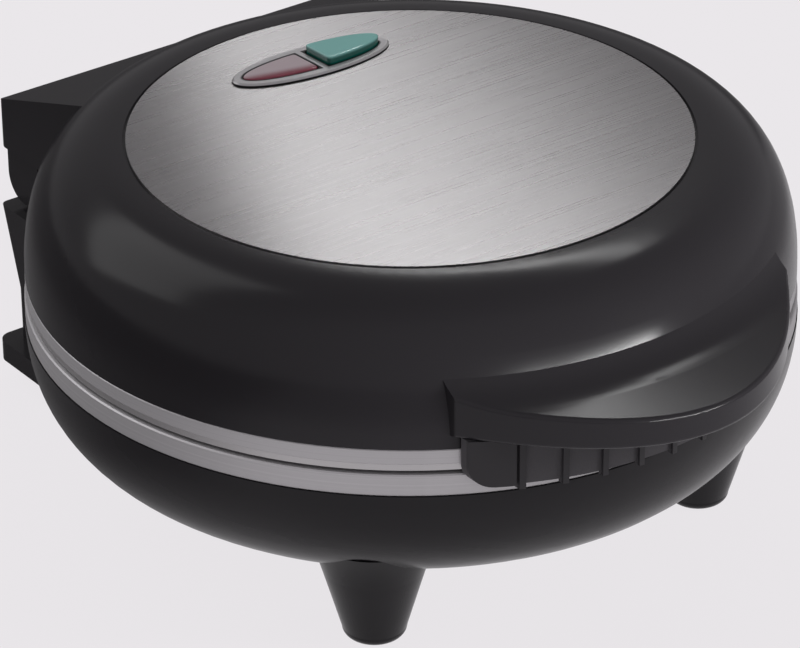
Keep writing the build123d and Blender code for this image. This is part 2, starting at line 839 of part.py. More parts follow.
def lens(side, top):
    # A lens that fills one window, with a foot that holds it under the bezel's neck.
    with BuildPart() as piece:
        with BuildSketch(WINDOW.offset(deck_underside)):
            add(
                window_half(
                    side,
                    opening_long - window_play,
                    opening_short - window_play,
                    lens_split_gap + 2 * window_play,
                )
            )
        extrude(amount=top - deck_underside)
        fillet(piece.edges().group_by(Axis.Z)[-1], lens_edge_fillet)
        with BuildSketch(WINDOW.offset(deck_underside)):
            add(
                window_half(
                    side,
                    opening_long + lens_foot,
                    opening_short + lens_foot,
                    lens_split_gap + 2 * window_play,
                )
            )
        extrude(amount=-lens_foot_thickness)
    return piece


power_lens = lens(-1, disc_top + bezel_height + power_lens_height)
write(power_lens, "power_lens")
ready_lens = lens(1, disc_top + bezel_height + ready_lens_height)
write(ready_lens, "ready_lens")

# Lamp holder under the deck, open towards the lenses
holder_top = deck_underside
holder_step = lens_foot_thickness + holder_play
with BuildPart() as lamp_holder:
    with BuildSketch(WINDOW.offset(holder_top)):
        Ellipse(neck_long + holder_wall, neck_short + holder_wall)
    extrude(amount=-holder_depth)
    with BuildSketch(WINDOW.offset(holder_top)):
        Ellipse(neck_long + window_play, neck_short + window_play)
    extrude(amount=-holder_step, mode=Mode.SUBTRACT)
    for side in (-1, 1):
        with BuildSketch(WINDOW.offset(holder_top)):
            add(window_half(side, opening_long, opening_short, lens_split_gap))
        extrude(amount=-(holder_depth - holder_wall), mode=Mode.SUBTRACT)
write(lamp_holder, "lamp_holder")

# Two neon lamps lying in the holder
lamp_height = holder_top - holder_depth + holder_wall + holder_play + lamp_radius
with BuildPart() as neon_lamps:
    for side in (-1, 1):
        lamp_start = Location((side * lamp_offset_x - lamp_length / 2, 0, lamp_height), (0, 90, 0))
        with BuildSketch(Plane(WINDOW.location * lamp_start)):
            Circle(lamp_radius)
        extrude(amount=lamp_length)
    fillet(neon_lamps.edges().filter_by(GeomType.CIRCLE), lamp_end_fillet)
write(neon_lamps, "neon_lamps")

# Guard under the handle: a floor in the handle's hollow and a ribbed wall down over the bands
guard_inner = guard_radius - guard_thickness
guard_middle = guard_radius - guard_thickness / 2
guard_outer = guard_radius + guard_rib_proud
with BuildPart() as handle_guard:
    with BuildSketch(BODY.offset(guard_bottom)):
        make_face(guard_strip(guard_inner, guard_radius, -guard_half_width, guard_half_width))
    extrude(amount=handle_bottom - guard_bottom)
    for index in range(guard_rib_count):
        middle = (index - (guard_rib_count - 1) / 2) * guard_rib_pitch
        with BuildSketch(BODY.offset(guard_bottom - guard_rib_drop)):
            start = middle - guard_rib_width / 2
            make_face(guard_strip(guard_middle, guard_outer, start, start + guard_rib_width))
        extrude(amount=handle_bottom - guard_bottom + guard_rib_drop)
    for start, stop in (
        (-guard_half_width, -guard_end_inner),
        (guard_end_inner, guard_half_width),
    ):
        with BuildSketch(BODY.offset(guard_bottom)):
            make_face(guard_strip(guard_middle, guard_outer, start, stop))
        extrude(amount=handle_bottom - guard_bottom)
    with BuildSketch(SECTION):
        for side in (-1, 1):
            with Locations((side * guard_half_width, guard_bottom)):
                Rectangle(2 * guard_end_radius, 2 * guard_end_radius)
            with Locations(
                (side * (guard_half_width - guard_end_radius), guard_bottom + guard_end_radius)
            ):
                Circle(guard_end_radius, mode=Mode.SUBTRACT)
    extrude(amount=front_reach, mode=Mode.SUBTRACT)
    with BuildSketch(BODY.offset(handle_bottom)):
        make_face(handle_outline(handle_wall + guard_play))
        Circle(lid_radius + rim_inner_gap + guard_play, mode=Mode.SUBTRACT)
    extrude(amount=guard_floor_thickness)
write(handle_guard, "handle_guard")

# Hinge pins, one on each side, from the base's knuckle into the lid's
with BuildPart() as hinge_pins:
    for side in (-1, 1):
        with BuildSketch(SIDE.offset(side * (base_knuckle_inner + pin_cap))):
            with Locations((hinge_y, hinge_z)):
                Circle(pin_radius)
        extrude(amount=side * (lid_knuckle_outer - pin_end - base_knuckle_inner - pin_cap))
    chamfer(hinge_pins.edges().filter_by(GeomType.CIRCLE), pin_chamfer)
write(hinge_pins, "hinge_pins")

# Cord inlet through the rear wall, and the nut that holds it inside
with BuildPart() as cord_inlet:
    with BuildSketch(Plane(origin=(0, body_y + rear_face, inlet_height), z_dir=(0, 1, 0))):
        Circle(inlet_flange_radius)
        Circle(cord_bore_radius, mode=Mode.SUBTRACT)
    extrude(amount=inlet_flange_thickness)
    with BuildSketch(Plane(origin=(0, body_y + rear_face, inlet_height), z_dir=(0, 1, 0))):
        Circle(inlet_sleeve_radius)
        Circle(cord_bore_radius, mode=Mode.SUBTRACT)
    extrude(amount=-(inlet_wall + inlet_nut_thickness))
    fillet(
        cord_inlet.edges().group_by(Axis.Y)[-1].sort_by(SortBy.RADIUS)[-1:],
        inlet_flange_edge,
    )
write(cord_inlet, "cord_inlet")

with BuildPart() as inlet_nut:
    with BuildSketch(
        Plane(origin=(0, body_y + rear_face - inlet_wall, inlet_height), z_dir=(0, 1, 0))
    ):
        RegularPolygon(inlet_flange_radius, 6)
        Circle(inlet_sleeve_radius + pin_play, mode=Mode.SUBTRACT)
    extrude(amount=-inlet_nut_thickness)
write(inlet_nut, "inlet_nut")

# Terminal block on the floor of the rear housing, with a bore for each conductor
with BuildPart() as terminal_block:
    with BuildSketch(BODY.offset(chamber_floor)):
        with Locations((0, block_y)):
            Rectangle(block_length, block_width)
    extrude(amount=block_height)
    fillet(terminal_block.edges().filter_by(Axis.Z), block_corner)
    block_rear = (0, body_y + block_y + block_width / 2, chamber_floor + block_height / 2)
    with BuildSketch(Plane(origin=block_rear, z_dir=(0, 1, 0))):
        with GridLocations(block_bore_pitch, 0, 3, 1):
            Circle(block_bore)
    extrude(amount=-block_bore_depth, mode=Mode.SUBTRACT)
write(terminal_block, "terminal_block")

# Thermostat clamped to the back of the lower plate, and the thermal fuse on the upper plate's back
lower_back = base_rim_top - pocket_back
with BuildPart() as thermostat:
    with BuildSketch(BODY.offset(lower_back)):
        with Locations((thermostat_x, 0)):
            Circle(thermostat_radius)
    extrude(amount=-thermostat_height)
    fillet(thermostat.edges().group_by(Axis.Z)[0], thermostat_edge)
    with BuildSketch(BODY.offset(lower_back - thermostat_height)):
        with Locations((thermostat_x, 0)):
            with GridLocations(thermostat_radius, 0, 2, 1):
                Rectangle(tab_thickness, tab_width)
    extrude(amount=-tab_length)
write(thermostat, "thermostat")

upper_back = lid_rim_bottom + pocket_back
with BuildPart() as thermal_fuse:
    fuse_start = (-thermostat_x, body_y - fuse_length / 2, upper_back + seat_gap + fuse_radius)
    with BuildSketch(Plane(origin=fuse_start, z_dir=(0, 1, 0))):
        Circle(fuse_radius)
    extrude(amount=fuse_length)
    fillet(thermal_fuse.edges().filter_by(GeomType.CIRCLE), fuse_end_fillet)
write(thermal_fuse, "thermal_fuse")

# Clamp in the hinge housing for the lid's leads
with BuildPart() as lead_clamp:
    with BuildSketch(BODY.offset(lid_housing_bottom + shell_wall)):
        with Locations((0, clamp_y)):
            RectangleRounded(clamp_length, clamp_width, clamp_corner)
    extrude(amount=clamp_height)
write(lead_clamp, "lead_clamp")


def lead(side, pin_height, end, turn):
    # One lead: from an element's pin, along the housing's wall, square into a block's end face.
    pin_end_y = body_y + element_leg_y + element_pin_length
    start = (side * element_leg_x, pin_end_y, pin_height)
    route = [
        start,
        (side * element_leg_x, pin_end_y + turn, pin_height),
        (side * (end[0] + turn), end[1], end[2]),
        (side * end[0], end[1], end[2]),
    ]
    with BuildPart() as wire:
        with BuildLine() as path:
            FilletPolyline(*route, radius=lead_bend)
        with BuildSketch(Plane(origin=path.line @ 0, z_dir=path.line % 0)):
            Circle(wire_radius)
        sweep()
    return wire


element_height = base_rim_top - pocket_back - seat_gap - element_radius
block_end = (block_length / 2, body_y + block_y, chamber_floor + block_height / 2)
with BuildPart() as base_leads:
    for side in (-1, 1):
        add(lead(side, element_height, block_end, lead_turn).part)
write(base_leads, "base_leads")

clamp_end = (clamp_length / 2, body_y + clamp_y, lid_housing_bottom + shell_wall + clamp_height / 2)
with BuildPart() as lid_leads:
    for side in (-1, 1):
        add(lead(side, 2 * parting_height - element_height, clamp_end, lead_turn).part)
write(lid_leads, "lid_leads")
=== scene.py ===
# %% [markdown]
# # A round omelette maker, dressed for a studio picture
#
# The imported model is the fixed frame: every piece already has its real shape, size and place in metres,
# with +Z up, the handle at -Y and the hinge at +Y. This file adds what a picture needs besides: the
# finish of each surface, a pale floor, soft light and a camera.

# %% Load the frame
import math

import bpy
import numpy as np
from mathutils import Matrix

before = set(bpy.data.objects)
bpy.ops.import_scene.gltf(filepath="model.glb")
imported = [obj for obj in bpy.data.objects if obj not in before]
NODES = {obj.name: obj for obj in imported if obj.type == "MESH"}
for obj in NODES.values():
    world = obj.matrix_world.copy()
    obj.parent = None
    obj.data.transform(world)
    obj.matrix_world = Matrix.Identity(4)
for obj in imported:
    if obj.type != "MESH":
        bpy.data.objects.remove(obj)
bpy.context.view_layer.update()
MM = 0.001
BODY_Y = 4.6 * MM  # the upright axis of both round housings is this far behind the origin

# %% [markdown]
# A camera could be placed by eye, but then no outline would lie quite on the picture's. This one was
# found by matching the ellipses of the rims and the steel disc, the feet, the hinge and the handle. It
# looks down at 29 degrees from the front left, through a long lens, so the far side is hardly smaller
# than the near side. The matched focal length is in pixels of a picture 800 pixels wide, and any sensor
# gives the same view when its lens is in proportion.

# %% Camera values
VIEW_TURN = math.radians(-36.8)  # about the upright axis: 0 is straight in front, and left is negative
VIEW_RISE = math.radians(29.24)  # above the floor
VIEW_ROLL = math.radians(-0.34)  # about the line of sight
VIEW_DISTANCE = 1232.4 * MM
VIEW_TARGET = np.array([0.0, BODY_Y, 53.0 * MM])
VIEW_SHIFT = (3.22 * MM, 0.58 * MM)  # the target is this far right of and above the picture's middle
FOCAL_PIXELS = 4200.0
PICTURE_PIXELS = 800.0
SENSOR = 36.0
LENS = FOCAL_PIXELS * SENSOR / PICTURE_PIXELS
print("lens of", LENS, "mm on a sensor of", SENSOR, "mm")


# %% Camera
def camera_axes(turn, rise, roll):
    """
    Right, up and backward directions. Backward points from the target to the camera, right is level,
    and up is at right angles to both. The roll then turns right and up about the line of sight.
    """
    back = np.array([
        math.sin(turn) * math.cos(rise),
        -math.cos(turn) * math.cos(rise),
        math.sin(rise),
    ])
    right = np.array([math.cos(turn), math.sin(turn), 0.0])
    up = np.cross(back, right)
    c, s = math.cos(roll), math.sin(roll)
    return c * right + s * up, c * up - s * right, back


def standing(x_way, y_way, z_way, place):
    """The matrix of an object at a place, with its own X, Y and Z along three directions."""
    pose = np.eye(4)
    pose[:3] = np.column_stack([x_way, y_way, z_way, place])
    return Matrix(pose.tolist())


right, up, back = camera_axes(VIEW_TURN, VIEW_RISE, VIEW_ROLL)
place = VIEW_TARGET - VIEW_SHIFT[0] * right - VIEW_SHIFT[1] * up + VIEW_DISTANCE * back
lens = bpy.data.cameras.new("camera")
lens.lens = LENS
lens.sensor_width = SENSOR
lens.clip_start = 0.05
lens.clip_end = 50.0
camera = bpy.data.objects.new("camera", lens)
camera.matrix_world = standing(right, up, back, place)
bpy.context.scene.collection.objects.link(camera)
bpy.context.scene.camera = camera
bpy.context.scene.view_settings.view_transform = "Standard"
print("camera at", np.round(place, 3))


# %% [markdown]
# Colours are written as the hex values that a picture shows, on a scale that is curved to suit the eye.
# The renderer adds up light, so it needs them on a straight scale, and one function undoes the curve
# for all of them.

# %% Colour
def linear(hex_colour):
    """
    A colour such as "#a0b0c0" as linear light. A channel v from 0 to 1 becomes v / 12.92 near black and
    ((v + 0.055) / 1.055) to the power 2.4 above that.
    """
    value = np.array([int(hex_colour[i:i + 2], 16) for i in (1, 3, 5)]) / 255.0
    light = np.where(value <= 0.04045, value / 12.92, ((value + 0.055) / 1.055) ** 2.4)
    return (*light.tolist(), 1.0)


print("mid grey #808080 is", round(linear("#808080")[0], 3), "in linear light")


# %% [markdown]
# A material is a net of nodes. One function adds any node with its settings and its links, so that each
# finish below reads as a list of its nodes from the pattern to the surface.

# %% Nodes
def node(tree, kind, links=(), **settings):
    """
    Adds a node. A setting is a property of the node or the value of an input, with _ for a space in its
    name, and _6 is input number 6, for a node whose inputs share a name. A link is an input, by name or
    number, and the output socket that feeds it.
    """
    made = tree.nodes.new(kind)
    for name, value in settings.items():
        label = name.replace("_", " ")
        if hasattr(made, name):
            setattr(made, name, value)
        elif label in made.inputs:
            made.inputs[label].default_value = value
        else:
            made.inputs[int(name[1:])].default_value = value
    for target, source in links:
        tree.links.new(source, made.inputs[target])
    return made


def new_material(name):
    """A material with an empty net of nodes, and that net."""
    made = bpy.data.materials.new(name)
    made.use_nodes = True
    made.node_tree.nodes.clear()
    print("material", name)
    return made, made.node_tree


# %% [markdown]
# Patterns could be pictures wrapped round the pieces, but then every piece would need unwrapping. Here
# they are noise that is read at the point on the piece itself, in millimetres, so that the size of a
# grain or a ripple is written as it would be measured.

# %% Patterns on the surface
MM_PER_METRE = 1 / MM


def in_millimetres(tree):
    """The point on the piece in millimetres: a noise of scale 1 / s then has humps about s mm wide."""
    place = node(tree, "ShaderNodeTexCoord")
    return node(
        tree, "ShaderNodeMapping", links=[("Vector", place.outputs["Object"])],
        Scale=(MM_PER_METRE, MM_PER_METRE, MM_PER_METRE),
    )


def relief(tree, point, hump_mm, detail, strength, height):
    """
    A fine unevenness. Noise is read as a height, and the shading tilts with its slope, at a share
    `strength` of what humps `height` metres high would do. The mesh stays as it is.
    """
    humps = node(
        tree, "ShaderNodeTexNoise", links=[("Vector", point.outputs[0])],
        Scale=1 / hump_mm, Detail=detail,
    )
    return node(
        tree, "ShaderNodeBump", links=[("Height", humps.outputs["Fac"])],
        Strength=strength, Distance=height,
    )


print("one metre on a piece is", MM_PER_METRE, "mm of pattern")

# %% [markdown]
# The two housings are injection-moulded ABS, dyed black, from a polished tool. The eye sees a near-black
# body with long soft reflections and the slight unevenness that moulding leaves. Wear could be painted
# on, but this one is new, so noise in two sizes is enough: a slow one lets the gloss drift, and a fine
# one is the relief. A low specular level keeps the black deep, because a pale room is mirrored all over
# it. The same recipe with other numbers makes the holders inside, the terminal block of white nylon and
# the thermostat's brown phenolic body.

# %% Moulded plastic
GLOSS_DRIFT_MM = 40.0
NOISE_LOW = 0.3  # nearly all of a soft noise is between these two
NOISE_HIGH = 0.7


def moulded_plastic(name, colour, roughness, speck_mm, strength, specular=0.5):
    """Plastic whose roughness drifts by about a tenth, under a fine moulded unevenness."""
    made, tree = new_material(name)
    point = in_millimetres(tree)
    drift = node(
        tree, "ShaderNodeTexNoise", links=[("Vector", point.outputs[0])],
        Scale=1 / GLOSS_DRIFT_MM, Detail=2.0,
    )
    level = node(
        tree, "ShaderNodeMapRange", links=[("Value", drift.outputs["Fac"])],
        From_Min=NOISE_LOW, From_Max=NOISE_HIGH, To_Min=roughness * 0.9, To_Max=roughness * 1.12,
    )
    bump = relief(tree, point, speck_mm, detail=3.0, strength=strength, height=0.02 * MM)
    skin = node(
        tree, "ShaderNodeBsdfPrincipled",
        links=[("Roughness", level.outputs["Result"]), ("Normal", bump.outputs["Normal"])],
        Base_Color=linear(colour), IOR=1.5, Specular_IOR_Level=specular,
    )
    node(tree, "ShaderNodeOutputMaterial", links=[("Surface", skin.outputs[0])])
    return made


black_abs = moulded_plastic(
    "moulded_black_abs", "#282629", roughness=0.2, speck_mm=0.9, strength=0.12, specular=0.25
)
inner_pbt = moulded_plastic("moulded_grey_pbt", "#3a3a3c", roughness=0.5, speck_mm=0.6, strength=0.4)
nylon = moulded_plastic("moulded_white_nylon", "#dcd9cf", roughness=0.45, speck_mm=0.7, strength=0.3)
phenolic = moulded_plastic(
    "moulded_brown_phenolic", "#3b241a", roughness=0.4, speck_mm=0.5, strength=0.4
)

# %% [markdown]
# The guard under the handle is the same plastic, but its panels were grained in the tool to hide
# scratches, so they look greyer and duller, while the ribs and the end blocks in front of them are
# smooth and darker. Two pieces could have a material each, but this is one moulding, so one material
# does both. The panels lie on an upright cylinder, and what is further from its axis is smooth.

# %% Guard plastic
GUARD_CENTRE_Y = -16.0 * MM
GUARD_FACE = 97.75 * MM  # radius of the panels about that centre
GRAINED_ROUGHNESS = 0.62
SMOOTH_ROUGHNESS = 0.4
SMOOTH_RELIEF = 0.1


def guard_plastic(name, smooth_colour, grain_colour, grain_mm):
    """Plastic that is grained up to the radius of the panels and smooth beyond it."""
    made, tree = new_material(name)
    place = node(tree, "ShaderNodeTexCoord")
    moved = node(
        tree, "ShaderNodeMapping", links=[("Vector", place.outputs["Object"])],
        Location=(0.0, -GUARD_CENTRE_Y, 0.0), Scale=(1.0, 1.0, 0.0),
    )
    radius = node(tree, "ShaderNodeVectorMath", links=[(0, moved.outputs[0])], operation="LENGTH")
    smooth = node(
        tree, "ShaderNodeMapRange", links=[("Value", radius.outputs["Value"])],
        From_Min=GUARD_FACE - 0.1 * MM, From_Max=GUARD_FACE + 0.2 * MM,
    )
    colour = node(
        tree, "ShaderNodeMix", links=[("Factor", smooth.outputs["Result"])], data_type="RGBA",
        _6=linear(grain_colour), _7=linear(smooth_colour),
    )
    rough = node(
        tree, "ShaderNodeMapRange", links=[("Value", smooth.outputs["Result"])],
        To_Min=GRAINED_ROUGHNESS, To_Max=SMOOTH_ROUGHNESS,
    )
    fade = node(
        tree, "ShaderNodeMapRange", links=[("Value", smooth.outputs["Result"])],
        To_Min=1.0, To_Max=SMOOTH_RELIEF,
    )
    bump = relief(tree, in_millimetres(tree), grain_mm, detail=2.0, strength=1.0, height=0.05 * MM)
    tree.links.new(fade.outputs["Result"], bump.inputs["Strength"])
    skin = node(
        tree, "ShaderNodeBsdfPrincipled",
        links=[
            ("Base Color", colour.outputs[2]),
            ("Roughness", rough.outputs["Result"]),
            ("Normal", bump.outputs["Normal"]),
        ],
        IOR=1.5, Specular_IOR_Level=0.35,
    )
    node(tree, "ShaderNodeOutputMaterial", links=[("Surface", skin.outputs[0])])
    return made


guard_abs = guard_plastic(
    "grained_black_abs", smooth_colour="#3e3c3f", grain_colour="#5b595c", grain_mm=0.5
)


# %% [markdown]
# The disc on the lid is thin stainless steel, brushed in straight strokes from side to side. The two rim
# bands are aluminium turned on a lathe, so their strokes run round. Strokes could be modelled one by
# one, but they are finer than a pixel, so they are a pattern in the material. It needs two things, which
# are worked out here for both: the point that the pattern reads and the direction of the strokes there.

# %% Directions of the strokes
def straight_strokes(tree, centred):
    """Strokes along X: the pattern reads the point as it is, and the direction is +X."""
    along = node(tree, "ShaderNodeCombineXYZ", X=1.0)
    return centred.outputs[0], along.outputs[0]


def round_strokes(tree, centred):
    """
    Strokes round the body's upright axis. The pattern reads (0, distance from the axis, height), which
    is the same all along a circle, and the direction is the cross product of the radius and +Z.
    """
    parts = node(tree, "ShaderNodeSeparateXYZ", links=[("Vector", centred.outputs[0])])
    flat = node(
        tree, "ShaderNodeCombineXYZ", links=[("X", parts.outputs["X"]), ("Y", parts.outputs["Y"])]
    )
    radius = node(tree, "ShaderNodeVectorMath", links=[(0, flat.outputs[0])], operation="LENGTH")
    field = node(
        tree, "ShaderNodeCombineXYZ", links=[("Y", radius.outputs["Value"]), ("Z", parts.outputs["Z"])]
    )
    along = node(
        tree, "ShaderNodeVectorMath", links=[(0, flat.outputs[0])], operation="CROSS_PRODUCT",
        _1=(0.0, 0.0, 1.0),
    )
    return field.outputs[0], along.outputs[0]


print("ways that strokes run:", [way.__name__ for way in (straight_strokes, round_strokes)])

# %% [markdown]
# A stroke is a groove, and light spreads across grooves and stays tight along them: the eye sees one
# soft bright band from the front to the back of the disc, which fades towards both sides. The shader's
# anisotropy makes the band, and noise stretched along the strokes draws them. Real strokes are about
# 0.05 mm apart, too fine to show, so they are drawn 0.5 mm apart.

# %% Brushed metal
STROKES_LOW = 0.25  # the strokes' noise is rougher, so it spreads a little further than a soft one
STROKES_HIGH = 0.75


def brushed_metal(name, colour, roughness, spread, width_mm, length_mm, strength, strokes_run):
    """
    Metal with strokes: noise divided by a stroke's length along it and by its width across it. The same
    noise moves the tone, the roughness and the relief, and `spread` is the anisotropy.
    """
    made, tree = new_material(name)
    place = node(tree, "ShaderNodeTexCoord")
    centred = node(
        tree, "ShaderNodeMapping", links=[("Vector", place.outputs["Object"])],
        Location=(0.0, -BODY_Y, 0.0),
    )
    field, along = strokes_run(tree, centred)
    tangent = node(
        tree, "ShaderNodeVectorTransform", links=[("Vector", along)],
        vector_type="VECTOR", convert_from="OBJECT", convert_to="WORLD",
    )
    squeezed = node(
        tree, "ShaderNodeMapping", links=[("Vector", field)],
        Scale=(MM_PER_METRE / length_mm, MM_PER_METRE / width_mm, MM_PER_METRE / width_mm),
    )
    strokes = node(
        tree, "ShaderNodeTexNoise", links=[("Vector", squeezed.outputs[0])],
        Scale=1.0, Detail=4.0, Roughness=0.6,
    )
    shade = node(
        tree, "ShaderNodeMapRange", links=[("Value", strokes.outputs["Fac"])],
        From_Min=STROKES_LOW, From_Max=STROKES_HIGH, To_Min=0.9, To_Max=1.06,
    )
    tint = node(
        tree, "ShaderNodeVectorMath", links=[(1, shade.outputs["Result"])], operation="MULTIPLY",
        _0=linear(colour)[:3],
    )
    level = node(
        tree, "ShaderNodeMapRange", links=[("Value", strokes.outputs["Fac"])],
        From_Min=STROKES_LOW, From_Max=STROKES_HIGH, To_Min=roughness * 0.94, To_Max=roughness * 1.06,
    )
    bump = node(
        tree, "ShaderNodeBump", links=[("Height", strokes.outputs["Fac"])],
        Strength=strength, Distance=0.01 * MM,
    )
    skin = node(
        tree, "ShaderNodeBsdfPrincipled",
        links=[
            ("Base Color", tint.outputs[0]),
            ("Roughness", level.outputs["Result"]),
            ("Normal", bump.outputs["Normal"]),
            ("Tangent", tangent.outputs[0]),
        ],
        Metallic=1.0, Anisotropic=spread, Anisotropic_Rotation=0.25,
    )
    node(tree, "ShaderNodeOutputMaterial", links=[("Surface", skin.outputs[0])])
    return made


disc_steel = brushed_metal(
    "brushed_stainless", "#a3a1a2", roughness=0.28, spread=0.94,
    width_mm=0.5, length_mm=60.0, strength=0.15, strokes_run=straight_strokes,
)
band_aluminium = brushed_metal(
    "turned_aluminium", "#e0dee0", roughness=0.6, spread=0.4,
    width_mm=0.45, length_mm=200.0, strength=0.25, strokes_run=round_strokes,
)


# %% [markdown]
# Plainer metals: aluminised sheet for the shields, zinc-plated screws, drawn steel pins, the sheath of
# the heating tubes, dulled and browned by heat, and the fuse's tin-plated can. None of them is polished,
# so a plain mirror would look wrong. Each is a metal whose tone and roughness drift together in soft
# clouds, with a fine grain in the relief, and only the numbers tell them apart.

# %% Plain metals
def plain_metal(name, light_colour, dark_colour, roughness, cloud_mm, grain_mm, strength):
    """Metal that moves between two tones in clouds, and by a fifth of its roughness either way."""
    made, tree = new_material(name)
    point = in_millimetres(tree)
    cloud = node(
        tree, "ShaderNodeTexNoise", links=[("Vector", point.outputs[0])],
        Scale=1 / cloud_mm, Detail=4.0,
    )
    tone = node(
        tree, "ShaderNodeMix", links=[("Factor", cloud.outputs["Fac"])], data_type="RGBA",
        _6=linear(light_colour), _7=linear(dark_colour),
    )
    level = node(
        tree, "ShaderNodeMapRange", links=[("Value", cloud.outputs["Fac"])],
        From_Min=NOISE_LOW, From_Max=NOISE_HIGH, To_Min=roughness * 0.8, To_Max=roughness * 1.2,
    )
    bump = relief(tree, point, grain_mm, detail=3.0, strength=strength, height=0.03 * MM)
    skin = node(
        tree, "ShaderNodeBsdfPrincipled",
        links=[
            ("Base Color", tone.outputs[2]),
            ("Roughness", level.outputs["Result"]),
            ("Normal", bump.outputs["Normal"]),
        ],
        Metallic=1.0,
    )
    node(tree, "ShaderNodeOutputMaterial", links=[("Surface", skin.outputs[0])])
    return made


shield_sheet = plain_metal(
    "aluminised_sheet", "#b7b9bb", "#8f9194", roughness=0.38, cloud_mm=9.0, grain_mm=0.5, strength=0.3
)
zinc = plain_metal(
    "zinc_plated_steel", "#c2c4c6", "#9c9ea3", roughness=0.3, cloud_mm=4.0, grain_mm=0.4, strength=0.2
)
pin_steel = plain_metal(
    "drawn_steel", "#b5b5b6", "#8d8d90", roughness=0.25, cloud_mm=6.0, grain_mm=0.4, strength=0.2
)
sheath = plain_metal(
    "heated_tube_sheath", "#7b6f66", "#4b443f", roughness=0.45, cloud_mm=7.0, grain_mm=0.4, strength=0.3
)
tinned = plain_metal(
    "tin_plated_can", "#cfcac0", "#aaa59b", roughness=0.35, cloud_mm=3.0, grain_mm=0.3, strength=0.2
)


# %% [markdown]
# The cooking plates are die-cast aluminium, sprayed with a black non-stick coat and then turned bare at
# the rim. The eye sees dark grey with a satin glow, a faint orange-peel relief, tiny mineral flecks that
# catch the light, and a pale metal edge. Flecks could be scattered as little chips, but they lie flush
# in the coat, so they are part of its colour.

# %% Flecks
FLECK_FROM = 0.9
FLECK_TO = 0.95


def flecks(tree, point, cell_mm):
    """
    1 on sparse flecks and 0 elsewhere. The pattern divides space into cells and gives each a random
    colour. A cell whose red is high has a fleck, out to about a quarter of its width.
    """
    cells = node(
        tree, "ShaderNodeTexVoronoi", links=[("Vector", point.outputs[0])],
        Scale=1 / cell_mm, Randomness=1.0,
    )
    chosen = node(tree, "ShaderNodeSeparateColor", links=[("Color", cells.outputs["Color"])])
    rare = node(
        tree, "ShaderNodeMapRange", links=[("Value", chosen.outputs[0])],
        From_Min=FLECK_FROM, From_Max=FLECK_TO,
    )
    near = node(
        tree, "ShaderNodeMapRange", links=[("Value", cells.outputs["Distance"])],
        From_Min=0.18, From_Max=0.3, To_Min=1.0, To_Max=0.0,
    )
    return node(
        tree, "ShaderNodeMath", links=[(0, rare.outputs["Result"]), (1, near.outputs["Result"])],
        operation="MULTIPLY",
    )


print("about one cell in", round(2 / (2 - FLECK_FROM - FLECK_TO)), "has a fleck")

# %% Non-stick coat
COAT_EDGE = 110.6 * MM
ORANGE_PEEL_MM = 1.4


def nonstick_coat(name, colour, fleck_colour, bare_colour, cell_mm):
    """Satin coat with flecks, and bare metal further than COAT_EDGE from the body's axis."""
    made, tree = new_material(name)
    place = node(tree, "ShaderNodeTexCoord")
    flat = node(
        tree, "ShaderNodeMapping", links=[("Vector", place.outputs["Object"])],
        Location=(0.0, -BODY_Y, 0.0), Scale=(1.0, 1.0, 0.0),
    )
    radius = node(tree, "ShaderNodeVectorMath", links=[(0, flat.outputs[0])], operation="LENGTH")
    bare = node(
        tree, "ShaderNodeMapRange", links=[("Value", radius.outputs["Value"])],
        From_Min=COAT_EDGE, From_Max=COAT_EDGE + 0.1 * MM,
    )
    point = in_millimetres(tree)
    fleck = flecks(tree, point, cell_mm)
    tone = node(
        tree, "ShaderNodeMix", links=[("Factor", fleck.outputs[0])], data_type="RGBA",
        _6=linear(colour), _7=linear(fleck_colour),
    )
    rim = node(
        tree, "ShaderNodeMix", links=[("Factor", bare.outputs["Result"]), (6, tone.outputs[2])],
        data_type="RGBA", _7=linear(bare_colour),
    )
    bump = relief(tree, point, ORANGE_PEEL_MM, detail=2.0, strength=0.4, height=0.06 * MM)
    skin = node(
        tree, "ShaderNodeBsdfPrincipled",
        links=[
            ("Base Color", rim.outputs[2]),
            ("Metallic", bare.outputs["Result"]),
            ("Normal", bump.outputs["Normal"]),
        ],
        Roughness=0.42, IOR=1.45, Specular_IOR_Level=0.6,
    )
    node(tree, "ShaderNodeOutputMaterial", links=[("Surface", skin.outputs[0])])
    return made


plate_coat = nonstick_coat(
    "black_nonstick_coat", "#2a2829", fleck_colour="#8a8683", bare_colour="#d8d6d7", cell_mm=0.8
)

# %% [markdown]
# The feet's pads and the cord's sleeve are rubber, matt and slightly dusty. The leads inside are
# silicone rubber, a little glossier. Dust could be a layer of its own, but it is thinner than any mesh,
# so it is noise in the colour, with a fine grain in the relief over a rough surface.

# %% Rubber and silicone
DUST_MM = 5.0


def rubber(name, colour, dust_colour, roughness, grain_mm):
    """Matt elastomer, with clouds of dust where the noise is above its middle."""
    made, tree = new_material(name)
    point = in_millimetres(tree)
    cloud = node(
        tree, "ShaderNodeTexNoise", links=[("Vector", point.outputs[0])], Scale=1 / DUST_MM, Detail=5.0
    )
    share = node(
        tree, "ShaderNodeMapRange", links=[("Value", cloud.outputs["Fac"])], From_Min=0.45, From_Max=0.8
    )
    tone = node(
        tree, "ShaderNodeMix", links=[("Factor", share.outputs["Result"])], data_type="RGBA",
        _6=linear(colour), _7=linear(dust_colour),
    )
    bump = relief(tree, point, grain_mm, detail=2.0, strength=0.5, height=0.04 * MM)
    skin = node(
        tree, "ShaderNodeBsdfPrincipled",
        links=[("Base Color", tone.outputs[2]), ("Normal", bump.outputs["Normal"])],
        Roughness=roughness, IOR=1.5,
    )
    node(tree, "ShaderNodeOutputMaterial", links=[("Surface", skin.outputs[0])])
    return made


